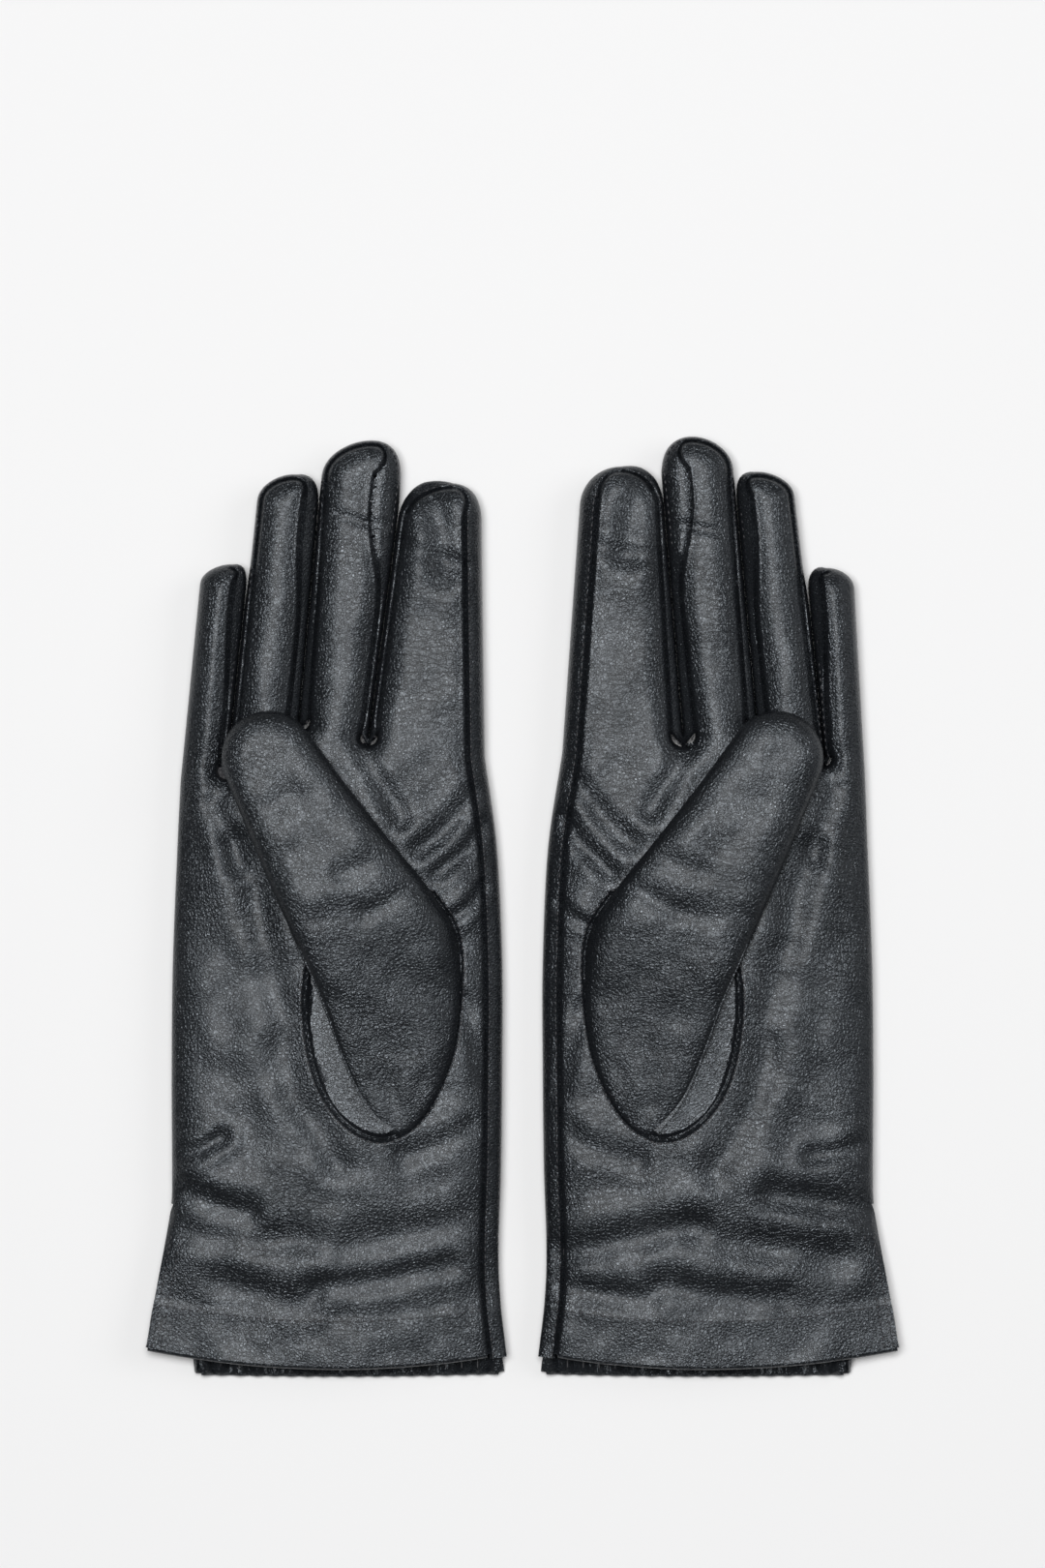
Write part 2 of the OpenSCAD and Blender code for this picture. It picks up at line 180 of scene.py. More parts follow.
class Hand:
    def __init__(self, name):
        self.name = name
        self.mirrored = name == "left"
        self.fingers = [Finger(r) for r in FINGERS[name]]
        self.slits = []
        for i, y in enumerate(SLITS[name]):
            g, h = self.fingers[i], self.fingers[i + 1]
            a, b = g.side(g.t_at(y + 1), -1), h.side(h.t_at(y + 1), 1)
            self.slits.append(((a + b) / 2, float(np.linalg.norm(a - b)) / 2, g.t_at(y + 1), h.t_at(y + 1)))
        index, little = self.fingers[0], self.fingers[3]
        index_foot = tuple(index.side(index.t_at(INDEX_FROM), 1))
        little_foot = tuple(little.side(little.t_at(LITTLE_FROM), -1))
        self.index_curve = smooth_curve(INDEX_SIDE + (index_foot,))
        self.flap_curve = smooth_curve((little_foot,) + LITTLE_SIDE + VENT_FLAP)
        self.back_curve = smooth_curve((little_foot,) + LITTLE_SIDE + GATHERED)
        self.oval = smooth_curve(OVAL + OVAL[:1])
        self.seams = self.seam_curves()
        self.palm_outline = self.outline(self.flap_curve)
        self.back_outline = self.outline(self.back_curve)

    def slit_arc(self, i, inset):
        """The round bottom of a slit, from its index side to its little-finger side."""
        middle, r, _, _ = self.slits[i]
        turn = np.linspace(0, math.pi, 9)
        return middle + (r + inset) * np.stack([np.cos(turn), -np.sin(turn) * 0.9], -1)

    def starts(self, i):
        """How far up finger i its two sides begin, on the index side and on the little-finger side."""
        f = self.fingers[i]
        first = f.t_at(INDEX_FROM) if i == 0 else self.slits[i - 1][3]
        last = f.t_at(LITTLE_FROM) if i == 3 else self.slits[i][2]
        return first, last

    def outline(self, side_curve):
        out = [self.index_curve]
        for i in range(4):
            out += [self.flank(i, 1, 0.0), self.flank(i, -1, 0.0)[::-1]]
        return np.vstack(out + [side_curve])

    def inset(self, i, s, t, turn):
        """How far in the leather's edge lies on a side of finger i: t along it, or turn round its tip."""
        round_it = 1 - ease(turn, 0.2, 1.5)
        if s > 0 and i == 0:
            return SEAM_IN + (WRAP - SEAM_IN) * round_it
        length = self.fingers[i].length
        return SEAM_IN + (s > 0) * TIP_IN[i] * ease(t, length - 34, length - 6) * round_it

    def flank(self, i, s, inset=None):
        """One side of finger i from its slit's bottom, or from the hand, up to the middle of its tip."""
        f = self.fingers[i]
        first = self.starts(i)[0 if s > 0 else 1]
        t = np.linspace(first, f.length, 16)
        turn = np.linspace(0, math.pi / 2, 15)
        deep_up = self.inset(i, s, t, 0 * t) if inset is None else inset + 0 * t
        deep = self.inset(i, s, f.length + 0 * turn, turn) if inset is None else inset + 0 * turn
        up = f.side(t, s, deep_up)
        reach = (f.tip_r - deep)[:, None]
        tip = f.tip + reach * (s * np.cos(turn)[:, None] * f.out + np.sin(turn)[:, None] * f.up)
        tip += TIP_SKEW[self.name][i] * (np.sin(turn) ** 2)[:, None] * f.out
        slit = i if s < 0 else i - 1
        if not 0 <= slit <= 2:
            return np.vstack([up, tip[1:]])
        arc = self.slit_arc(slit, deep_up[0])
        arc = arc[4::-1] if s < 0 else arc[4:]
        return np.vstack([arc, up[1:], tip[1:]])

    def filled(self, i, s):
        """The side of finger i swollen out to halfway across the slit beside it."""
        rim = self.flank(i, s, 0.0)
        out = rim - self.flank(i, s, 1.0)
        other = self.flank(i - s, -s, 0.0)
        d = nearest(rim, [other])
        top = self.fingers[i - s].tip[1] + self.fingers[i - s].tip_r
        fade = 1 - ease(rim[:, 1], top - 14, top + 1)
        fade[-15:] *= np.cos(np.linspace(0, math.pi / 2, 15))
        far = np.clip(d / 2 - 0.05, 0, 3.4) * fade
        far[:5] = np.maximum(far[:5], self.slits[i if s < 0 else i - 1][1] - 0.05)
        return rim + far[:, None] * out

    def seam_curves(self):
        """The seams that show on the palm side: side seam, three slits with their fingers, and the oval."""
        seams = [np.vstack([self.index_seam(), self.flank(0, 1)])]
        for i in range(3):
            seams.append(np.vstack([self.flank(i, -1)[::-1], self.flank(i + 1, 1)]))
        return seams + [self.oval]

    def index_seam(self, deep=WRAP):
        """The index side's outline, drawn in by some depth."""
        c = self.index_curve
        step = np.gradient(c, axis=0)
        n = np.stack([-step[:, 1], step[:, 0]], -1) / np.linalg.norm(step, axis=1)[:, None]
        return c + deep * n

    def place(self, p):
        """Millimetres on the pattern to metres in the pair."""
        out = np.array(p, float)
        out[:, 0] = glove_x - out[:, 0] if self.mirrored else out[:, 0] - glove_x
        out[:, 1] += root_y
        return out * MM


hands = [Hand("right"), Hand("left")]
print("finger lengths", [[round(f.length) for f in h.fingers] for h in hands])


# %% [markdown]
# ## How high the leather lies
# An empty glove is a soft envelope. In section its edge is a rounded curve, close to an ellipse, and
# further in the leather lies nearly flat. On top of that come the folds: a few long soft ones at the
# wrist and round the thumb, which are drawn as strokes, and a slow unevenness from a noise field.
# A stroke runs from one point to another and has a width and a depth.

# %% Heights and folds
ROUND = 2.3
LOWEST = 0.03
STROKES = {
    "right": ((-44, -112, -31, -107, 2.2, 0.9), (-43, -121, -24, -127, 3.5, 1.3),
              (-40, -131, -8, -134, 4.5, 0.9), (-5, -147, 30, -141, 3.2, 0.8), (2, -136, 38, -128, 5, 0.7),
              (-30, -146, -8, -151, 3.5, 0.5),
              (27, -36, 39, -24, 2.2, 0.9), (22, -30, 36, -15, 2.6, 0.7), (31, -48, 39, -40, 1.8, 0.8),
              (8, -6, 17, -22, 2.6, 0.7), (-11, -4, -8, -20, 2.6, 0.5), (-33, -18, -27, -34, 3, 0.9),
              (-26, -28, -20, -52, 4, 1.0), (-18, -60, -13, -88, 4.5, 0.9), (-12, -96, 0, -114, 4, 0.8),
              (18, -112, 36, -104, 3, 0.6), (34, -70, 39, -92, 2.2, 0.5), (16, 52, 34, 46, 2.5, 0.5),
              (0, 60, 11, 57, 1.2, 0.4), (25, 66, 29, 44, 4, 1.1)),
    "left": ((-44, -108, -28, -112, 2.4, 0.8), (-45, -126, -18, -122, 3.8, 1.1),
             (-36, -139, 2, -133, 4.5, 0.9), (4, -130, 40, -138, 4.0, 1.0),
             (-20, -150, 12, -147, 3.5, 0.7), (16, -150, 40, -146, 3, 0.6),
             (26, -36, 38, -22, 2.4, 0.9), (20, -28, 35, -12, 2.8, 0.7), (32, -50, 40, -44, 1.8, 0.7),
             (7, -5, 15, -20, 2.6, 0.7), (-14, -4, -11, -20, 2.6, 0.5), (-34, -14, -29, -32, 3, 0.8),
             (-27, -30, -22, -54, 4, 1.0), (-19, -60, -14, -90, 4.5, 0.9), (-13, -98, -2, -116, 4, 0.8),
             (19, -113, 37, -106, 3, 0.6), (34, -72, 39, -94, 2.2, 0.5), (12, 48, 31, 52, 2.5, 0.5),
             (-3, 55, 8, 59, 1.2, 0.4), (18, 68, 22, 48, 4, 0.8)),
}


def uneven(p, size, seed):
    """A slow noise over the pattern, between about -1 and 1."""
    return np.array([noise.noise(Vector((q[0] / size, q[1] / size, seed))) for q in p])


def folds(hand, p):
    """How far the folds lift or sink each point."""
    out = np.zeros(len(p))
    for x0, y0, x1, y1, width, depth in STROKES[hand.name]:
        d = nearest(p, [np.array([(x0, y0), ((x0 + x1) / 2 + 0.8, (y0 + y1) / 2 - 0.8), (x1, y1)], float)])
        out -= depth * np.exp(-(d / width) ** 2)
        out += 0.45 * depth * np.exp(-((d - 1.7 * width) / width) ** 2)
    return out


def swell(d, r):
    """The rounded edge: 0 at the outline, 1 from r inwards."""
    return (1 - (1 - np.clip(d / r, 0, 1)) ** ROUND) ** (1 / ROUND)


def edge_round(p):
    return 8.2 + 4.5 * ease(-p[:, 1], -2, 28)


def ceiling(p):
    """The height of the palm side away from its edges and seams."""
    x, y = p[:, 0], p[:, 1]
    wrist = ease(-y, 105, 166)
    fingers = ease(y, -6, 20)
    high = TOP_Z + 0.5 * np.exp(-((x - 2) / 30) ** 2) * (1 - fingers) - 3.0 * wrist - 0.4 * fingers
    waves = 0.55 * np.sin((-y - 100 + 6 * np.sin(x / 21)) / 4.6) * ease(-y, 100, 128) * (1 - 0.5 * wrist)
    slow = 0.8 * uneven(p, 17, 3.1) + 0.38 * uneven(p, 7, 8.7) - 1.5 * (x / 42) ** 2 * (1 - fingers)
    return high + waves * (0.5 + 0.5 * uneven(p, 14, 5.5)) + slow * (1 - 0.45 * fingers)


def palm_height(hand, p):
    """The palm side's height, swollen from the outline and sunk at the seams."""
    d = nearest(p, [hand.palm_outline])
    e = nearest(p, hand.seams)
    middle = MIDDLE_Z + 2.2 * ease(-p[:, 1], 126, 146) * ease(-p[:, 0], 20, 40)
    z = middle + (ceiling(p) + folds(hand, p) - middle) * swell(d, edge_round(p))
    hem = hem_y(p[:, 0])
    z += 0.3 * (1 - ease(p[:, 1] - hem, 12.4, 13.8))
    z += 0.2 * np.exp(-((e - 0.95) / 0.45) ** 2) - 0.95 * np.exp(-(e / GROOVE) ** 1.6)
    z -= 0.45 * np.exp(-e / 2.2)
    return z


def back_height(hand, p):
    """The back's height: it rests on the table away from its edges."""
    d = nearest(p, [hand.back_outline])
    gather = ease(-p[:, 1], 140, 166)
    pleats = 0.9 * gather * (1 + np.sin(p[:, 0] * 2 * math.pi / 4.6 + 1.2 * uneven(p, 11, 2.2)))
    z = MIDDLE_Z * (1 - swell(d, edge_round(p) * 0.8)) + pleats
    return np.maximum(z, LOWEST)


def hem_y(x):
    return -164.4 - 4.0 * (1 - (np.asarray(x) / 46) ** 2)


# %% [markdown]
# ## Panels from grids
# Each panel of leather is a grid of squares laid between its four edges, which gives even quads
# that bend and shade well. Near the seams the squares are divided twice more, because the leather
# turns down there within a millimetre. Only then is each point lifted to its height, so the height
# rules decide the shape and the grid is free. Every point keeps its place at rest and its distance
# from the seam in attributes, so that grain stays in the leather when a finger bends.

# %% Panel maker
CELL = 1.1
LEATHER = 0.9
GROOVE_REACH = (2.4, 1.1)
SHARP = 1.05
counts = {}


def new_mesh():
    bm = bmesh.new()
    bm.faces.layers.int.new("part")
    return bm


def lay(bm, cols, rows, rule, part=0):
    """Adds a grid to a bmesh and lays it by rule(u, v), in millimetres."""
    verts = bmesh.ops.create_grid(bm, x_segments=cols, y_segments=rows, size=1)["verts"]
    uv = np.array([v.co[:2] for v in verts]) * 0.5 + 0.5
    spots = rule(uv[:, 0], uv[:, 1])
    for v, q in zip(verts, spots):
        v.co = (q[0], q[1], q[2] if len(q) > 2 else 0)
    tag = bm.faces.layers.int["part"]
    for f in {f for v in verts for f in v.link_faces}:
        f[tag] = part


def coons(u, v, bottom, top, left, right):
    """Lays (u, v) between four edges that meet at their ends."""
    one, nil = np.ones(1), np.zeros(1)
    su, sv = u[:, None], v[:, None]
    corners = ((1 - su) * (1 - sv) * bottom(nil) + su * (1 - sv) * bottom(one)
               + (1 - su) * sv * top(nil) + su * sv * top(one))
    return (1 - sv) * bottom(u) + sv * top(u) + (1 - su) * left(v) + su * right(v) - corners


def refine(bm, curves):
    for reach in GROOVE_REACH:
        d = nearest(flat(bm), curves)
        near = {v for v, k in zip(bm.verts, d < reach) if k}
        edges = [e for e in bm.edges if e.verts[0] in near and e.verts[1] in near]
        bmesh.ops.subdivide_edges(bm, edges=edges, cuts=1, use_grid_fill=True)


def flat(bm):
    return np.array([v.co[:2] for v in bm.verts])


def lift(bm, z):
    for v, height in zip(bm.verts, z):
        v.co.z = height


def only(bm, part):
    """A copy of just one part of a mesh."""
    out = bm.copy()
    tag = out.faces.layers.int["part"]
    bmesh.ops.delete(out, geom=[f for f in out.faces if f[tag] != part], context="FACES")
    return out


def thicken(bm, thick):
    """Gives a sheet its thickness: a copy of it is moved inwards and stays joined at the edges."""
    bm.normal_update()
    normals = {tuple(v.co): v.normal.copy() for v in bm.verts}
    sheet = bm.verts[:] + bm.edges[:] + bm.faces[:]
    made = bmesh.ops.extrude_face_region(bm, geom=sheet, use_keep_orig=True)
    for v in made["geom"]:
        if isinstance(v, bmesh.types.BMVert):
            v.co -= normals[tuple(v.co)] * thick
    bmesh.ops.recalc_face_normals(bm, faces=bm.faces)
    bm.normal_update()
    for e in bm.edges:
        if len(e.link_faces) == 2 and e.calc_face_angle(0) > SHARP:
            e.smooth = False


def finish_piece(bm, name, hand, material, thick=0.0):
    """Gives a bmesh its thickness and its place in the pair, and makes it an object."""
    bmesh.ops.dissolve_degenerate(bm, dist=1e-4, edges=bm.edges)
    if thick:
        thicken(bm, thick)
    xy = flat(bm)
    seam = nearest(xy, hand.seams)
    xyz = hand.place(np.array([v.co for v in bm.verts]))
    for v, q in zip(bm.verts, xyz):
        v.co = q
    if hand.mirrored:
        bmesh.ops.reverse_faces(bm, faces=bm.faces)
    for f in bm.faces:
        f.smooth = True
    mesh = bpy.data.meshes.new(name)
    bm.to_mesh(mesh)
    bm.free()
    rest = mesh.attributes.new("rest", "FLOAT_VECTOR", "POINT")
    rest.data.foreach_set("vector", xyz.astype(np.float32).ravel())
    near = mesh.attributes.new("seam", "FLOAT", "POINT")
    near.data.foreach_set("value", (seam * MM).astype(np.float32))
    piece = bpy.data.objects.new(name, mesh)
    bpy.context.scene.collection.objects.link(piece)
    mesh.materials.append(material)
    counts[name] = len(mesh.polygons)
    return piece


def bend(piece):
    """Bakes the place of a finger's or thumb's piece into its mesh."""
    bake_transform(piece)


# %% [markdown]
# ## Palm and back
# The palm of a glove, with the palm sides of its four fingers, is one leaf of leather, and the back
# is another. Each leaf is laid as five grids that share their edges, so it is lifted and smoothed as
# one. It is cut at the finger roots only at the very end, because each finger has its own joint. The
# palm is open inside the thumb's oval, except for a sunk ledge that the thumb's edge covers.

# %% Leaves
OVAL_LEDGE, LEDGE_SINK = 3.5, 2.4
FOLD_LINE = (-128, -122)


def leaf_mesh(hand, little_edge, index_edge, hem, inset):
    """A whole leaf lying flat: little_edge and index_edge run from the hem up to the fingers."""
    bm = new_mesh()
    flanks = {(i, s): hand.flank(i, s, inset) for i in range(4) for s in (-1, 1)}
    feet = [flanks[3, -1][0]] + [flanks[i, 1][0] for i in (3, 2, 1, 0)]
    cols = [max(6, round(float(np.linalg.norm(b - a)) / CELL)) for a, b in zip(feet, feet[1:])]
    knots = np.concatenate([[0], np.cumsum(cols)]) / sum(cols)
    feet = np.array(feet)
    little_edge[-1], index_edge[-1] = feet[0], feet[-1]

    def top(u):
        return np.stack([np.interp(u, knots, feet[:, k]) for k in (0, 1)], -1)

    def bottom(u):
        share = (top(u)[:, 0] - feet[0, 0]) / (feet[-1, 0] - feet[0, 0])
        x = little_edge[0][0] + share * (index_edge[0][0] - little_edge[0][0])
        return np.stack([x, hem(x)], -1)

    little_edge[0] = (little_edge[0][0], hem(little_edge[0][0]))
    index_edge[0] = (index_edge[0][0], hem(index_edge[0][0]))
    rows = round(float(feet[2][1] - little_edge[0][1]) / CELL)
    lay(bm, sum(cols), rows, lambda u, v: coons(u, v, bottom, top, lambda t: along(little_edge, t),
                                                lambda t: along(index_edge, t)))
    for n, i in enumerate((3, 2, 1, 0)):
        left, right = flanks[i, -1], flanks[i, 1]
        tip = np.vstack([left[-8:], right[-8:-1][::-1]])
        foot = np.stack([left[0], right[0]])
        rows = round(hand.fingers[i].length / CELL)
        lay(bm, cols[n], rows, lambda u, v: coons(
            u, v, lambda t: along(foot, t), lambda t: along(tip, t), lambda t: along(left[:-7], t),
            lambda t: along(right[:-7], t)), i + 1)
    bmesh.ops.remove_doubles(bm, verts=bm.verts, dist=0.04)
    return bm


def inside_oval(hand, p):
    a = hand.oval[:-1]
    step = hand.oval[1:] - a
    rel = p[:, None] - a[None]
    turn = step[None, :, 0] * rel[:, :, 1] - step[None, :, 1] * rel[:, :, 0]
    return np.all(turn < 0, axis=1) | np.all(turn > 0, axis=1)


def palm_leaf(hand):
    little = hand.flap_curve[::-1].copy()
    little[:, 0] += SEAM_IN * ease(little[:, 1], *FOLD_LINE)
    bm = leaf_mesh(hand, little, hand.index_seam(), hem_y, None)
    centres = np.array([f.calc_center_median()[:2] for f in bm.faces])
    d = nearest(centres, [hand.oval])
    gone = inside_oval(hand, centres) & (d > OVAL_LEDGE)
    bmesh.ops.delete(bm, geom=[f for f, g in zip(bm.faces, gone) if g], context="FACES")
    refine(bm, hand.seams)
    z = palm_height(hand, flat(bm))
    d = nearest(flat(bm), [hand.oval])
    z -= LEDGE_SINK * ease(d, 0.1, 1.6) * inside_oval(hand, flat(bm))
    lift(bm, z)
    return bm


def back_hem_y(x):
    return -170.9 + 0.6 * (np.asarray(x) / 40) ** 2


def back_leaf(hand):
    little = hand.back_curve[::-1].copy()
    little[:, 0] += SEAM_IN * ease(little[:, 1], *FOLD_LINE)
    bm = leaf_mesh(hand, little, hand.index_seam(SEAM_IN), back_hem_y, SEAM_IN)
    refine(bm, hand.seams[1:4])
    lift(bm, back_height(hand, flat(bm)))
    bmesh.ops.reverse_faces(bm, faces=bm.faces)
    return bm


def dress_leaf(hand, bm, name, node):
    """Cuts a leaf at its finger roots and hands out the pieces."""
    for part in range(5):
        finger = NAMES[part - 1] if part else ""
        piece = finish_piece(only(bm, part), f"{hand.name}_{finger + '_' if part else ''}{name}", hand,
                             leather, LEATHER)
        if part:
            bend(piece)
            if name == "palm_side":
                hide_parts(f"{hand.name}_{finger}_finger_end")
        else:
            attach(piece, f"{hand.name}_hand")
            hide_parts(node)
    bm.free()


# %% [markdown]
# ## Side strips
# Fourchettes are the narrow gussets between the fingers, cut long and folded at the slits. On the
# index side the back leather comes round to the palm, and on the little-finger side the palm
# simply folds. All of these are bands that run along the outline, from the palm's edge out round the
# side and back under, so one rule makes them from three curves.

# %% Strips along the outline
def pick(curve, k):
    """Points at fractional places k of a list of points."""
    n = np.arange(len(curve))
    return np.stack([np.interp(k, n, curve[:, c]) for c in (0, 1)], -1)


def side_strip(hand, outer, upper, lower, name, across=14, gusset=False):
    """A band from the upper seam round the outline to the lower seam."""
    steps = np.linalg.norm(np.diff(outer, axis=0), axis=1)
    s = np.concatenate([[0], np.cumsum(steps)])
    bm = new_mesh()

    def rule(u, v):
        k = np.interp(v * s[-1], s, np.arange(len(s)))
        rim, above, below = pick(outer, k), pick(upper, k), pick(lower, k)
        turn = np.clip(np.where(u < 0.5, u, 1 - u) * math.pi, 0, math.pi / 2)
        inner = np.where((u < 0.5)[:, None], above, below)
        p = inner + (rim - inner) * np.sin(turn)[:, None]
        if gusset:
            seam_z = palm_height(hand, above) + 0.35
            back_z = back_height(hand, below)
            end = np.where(u < 0.5, seam_z, back_z)
            wrinkle = 0.35 * np.sin(np.pi * u) * uneven(p, 3.2, 6.6)
            z = MIDDLE_Z + (end - MIDDLE_Z) * np.cos(turn) ** 0.85 + wrinkle
            from_seam = np.linalg.norm(p - above, axis=1)
            lip = 0.35 * np.exp(-((from_seam - 0.7) / 0.4) ** 2)
            z += (u < 0.5) * (lip - 0.5 * np.exp(-(from_seam / 0.3) ** 2))
            return np.column_stack([p, np.maximum(z, 0.05)])
        return np.column_stack([p, np.where(u < 0.5, palm_height(hand, p), back_height(hand, p))])

    lay(bm, across, round(s[-1] / CELL), rule)
    bm.normal_update()
    if sum((f.normal.z * (f.calc_center_median().z - MIDDLE_Z)) * f.calc_area() for f in bm.faces) < 0:
        bmesh.ops.reverse_faces(bm, faces=bm.faces)
    piece = finish_piece(bm, f"{hand.name}_{name}", hand, shaded_side_leather, LEATHER)
    bend(piece)
    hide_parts(f"{hand.name}_{name}")


def side_pieces(hand):
    side_strip(hand, np.vstack([hand.index_curve, hand.flank(0, 1, 0.0)]),
               np.vstack([hand.index_seam(), hand.flank(0, 1)]),
               np.vstack([hand.index_seam(SEAM_IN), hand.flank(0, 1, SEAM_IN)]),
               "index_side_wrap", 18)
    little = hand.flap_curve[hand.flap_curve[:, 1] > -125.5]
    drawn_in = little + np.array((SEAM_IN, 0))
    upper = np.vstack([hand.flank(3, -1, SEAM_IN)[::-1], drawn_in])
    side_strip(hand, np.vstack([hand.flank(3, -1, 0.0)[::-1], little]), upper, upper,
               "little_side_fold")
    towards = {0: ("index_fourchette", "middle_fourchette_index_side"),
               1: ("middle_fourchette_ring_side", "ring_fourchette_middle_side"),
               2: ("ring_fourchette_little_side", "little_fourchette")}
    for slit, names in towards.items():
        for i, s, name in ((slit, -1, names[0]), (slit + 1, 1, names[1])):
            side_strip(hand, hand.filled(i, s), hand.flank(i, s), hand.flank(i, s, SEAM_IN), name,
                       gusset=True)


# %% [markdown]
# ## The thumb
# The thumb's leather is sewn into the oval, rises, and lies folded flat over the palm, so the side
# towards the little finger is a soft overhanging fold with the gusset going back under it. It is
# made as two sheets that meet at the fold: one over the top, and one that runs underneath.

# %% Thumb sheets
THUMB_TIP = np.array((-18.26, -5.38))
THUMB_R = 12.5
THUMB_UP = np.array((-math.sin(math.radians(32)), math.cos(math.radians(32))))
THUMB_OUT = np.array((THUMB_UP[1], -THUMB_UP[0]))
STALL_TOP, STALL_MID, STALL_LOW = 22.4, 17.8, 13.5
FOLD = ((13.2, -105.8), (6.8, -97.5), (1.4, -86), (-4.0, -71), (-10.4, -56), (-18.4, -38), (-25.2, -21.5),
        (-29.74, -10.33))
INNER = ((19.5, -105.5), (26.5, -96.5), (31.4, -83), (32.9, -66), (31.6, -52), (25.6, -41.8), (13.6, -26.8),
         (2.2, -12.2), (-8.27, 2.13))
UNDER = ((13.2, -105.8), (3.0, -103.2), (-4.6, -93), (-8.2, -76), (-7.0, -60), (0.2, -46.5), (13, -39.6),
         (25.6, -41.8), (24, -40), (13.6, -26.8), (2.2, -12.2), (-8.27, 2.13))


def thumb_arc(a, b):
    turn = np.linspace(math.radians(a), math.radians(b), 9)[:, None]
    return THUMB_TIP + THUMB_R * (np.cos(turn) * THUMB_OUT + np.sin(turn) * THUMB_UP)


fold_edge = np.vstack([smooth_curve(FOLD)[:-1], thumb_arc(171.3, 135)])
inner_edge = np.vstack([smooth_curve(INNER)[:-1], thumb_arc(4.9, 45)])
under_edge = np.vstack([smooth_curve(UNDER)[:-1], thumb_arc(4.9, 45)])
thumb_tip_arc = thumb_arc(135, 45)
thumb_foot = smooth_curve(((13.2, -105.8), (16.4, -106.9), (19.5, -105.5)))


def thumb_levels(p):
    """The middle and the top of the thumb's thickness at each point."""
    s = (p - np.array((16, -105))) @ THUMB_UP
    mid_fold = 12.9 + (STALL_MID - 12.9) * ease(s, 2, 62)
    mid_inner = 11.9 + (STALL_MID - 11.9) * ease(p[:, 1], -53, -27)
    top = 14.4 + (STALL_TOP - 14.4) * ease(s, 0, 70) - 2.2 * ease(s, 108, 132)
    return mid_fold, mid_inner, top, s


def thumb_folds(p, seed):
    creases = ((20, -40, 8, -47, 2.6, 0.8), (15, -31, 2, -36, 3.2, 0.7), (-8, -48, 6, -46, 3.2, 0.5),
               (16, -103, 14, -90, 2.6, 0.4), (21, -101, 23, -90, 2.6, 0.35),
               (-24, -20, -12, -17, 3.5, 0.45), (28, -70, 18, -64, 4, 0.5), (-4, -70, 8, -74, 4, 0.4))
    out = 0.7 * uneven(p, 15, seed) + 0.3 * uneven(p, 6, seed + 3)
    for x0, y0, x1, y1, width, depth in creases:
        d = nearest(p, [np.array([(x0, y0), (x1, y1)], float)])
        out -= depth * np.exp(-(d / width) ** 2)
    return out


def thumb_over(hand, u, v):
    p = coons(u, v, lambda t: along(thumb_foot, t), lambda t: along(thumb_tip_arc, t),
              lambda t: along(fold_edge, t), lambda t: along(inner_edge, t))
    to_fold = nearest(p, [np.vstack([fold_edge, thumb_tip_arc])])
    to_inner = nearest(p, [np.vstack([thumb_foot, inner_edge, thumb_tip_arc[::-1]])])
    mid_fold, mid_inner, top, _ = thumb_levels(p)
    share = to_inner / (to_fold + to_inner + 1e-6)
    mid = mid_fold * share + mid_inner * (1 - share)
    d = np.minimum(to_fold, to_inner)
    z = mid + (top + thumb_folds(p, 1.7 + hand.mirrored) - mid) * swell(d, 8.6)
    return np.column_stack([p, z])


def thumb_below(u, v):
    a, b = along(fold_edge, v), along(under_edge, v)
    p = a + (b - a) * u[:, None]
    chord = fold_edge[-1] + (under_edge[-1] - fold_edge[-1]) * u[:, None]
    p = p + (along(thumb_tip_arc, u) - chord) * ease(v, 0.8, 1)[:, None]
    _, _, _, s = thumb_levels(a)
    stall = ease(s, 50, 74)
    tuck = 7.5 * np.sin(np.pi * u) ** 0.8 * (1 - stall)
    p = p + tuck[:, None] * THUMB_OUT
    start = thumb_levels(a)[0]
    stop = thumb_levels(b)[1]
    mid = start * (1 - u) + stop * u
    gusset = 11.6 + (start - 11.6) * (1 - u) ** 1.6
    to_tip = nearest(p, [thumb_tip_arc])
    d = np.minimum(np.minimum(u, 1 - u) * np.linalg.norm(b - a, axis=1), to_tip)
    belly = mid - (mid - STALL_LOW) * swell(d, 6)
    return np.column_stack([p, gusset * (1 - stall) + belly * stall])


def thumb_pieces(hand):
    rows = round(118 / CELL)
    over = new_mesh()
    lay(over, round(40 / CELL), rows, lambda u, v: thumb_over(hand, u, v))
    piece = finish_piece(over, f"{hand.name}_thumb_upper", hand, leather, LEATHER)
    bend(piece)
    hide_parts(f"{hand.name}_thumb_base", f"{hand.name}_thumb_stall")
    below = new_mesh()
    lay(below, round(36 / CELL), rows, thumb_below)
    bmesh.ops.reverse_faces(below, faces=below.faces)
    piece = finish_piece(below, f"{hand.name}_thumb_under", hand, shaded_side_leather, LEATHER)
    bend(piece)


# %% [markdown]
# ## The cuff
# The palm's hem is turned in and sewn down, so its edge is a soft roll and the leather is double
# above it. The back's hem is the same with an elastic inside, which gathers it. Each hem is one
# band: half a turn round the edge and then up the inside of its leaf.

# %% Hems, facing and elastic
HEM_DEEP = 12.5
ROLL = 0.95
ROLLED = 0.3
PALM_HEM_ENDS = (-50.9, 40.2)
BACK_HEM_ENDS = (-36.6, 43.2)
BAND_THICK, ELASTIC_THICK, FACING_THICK = 0.5, 0.6, 0.7


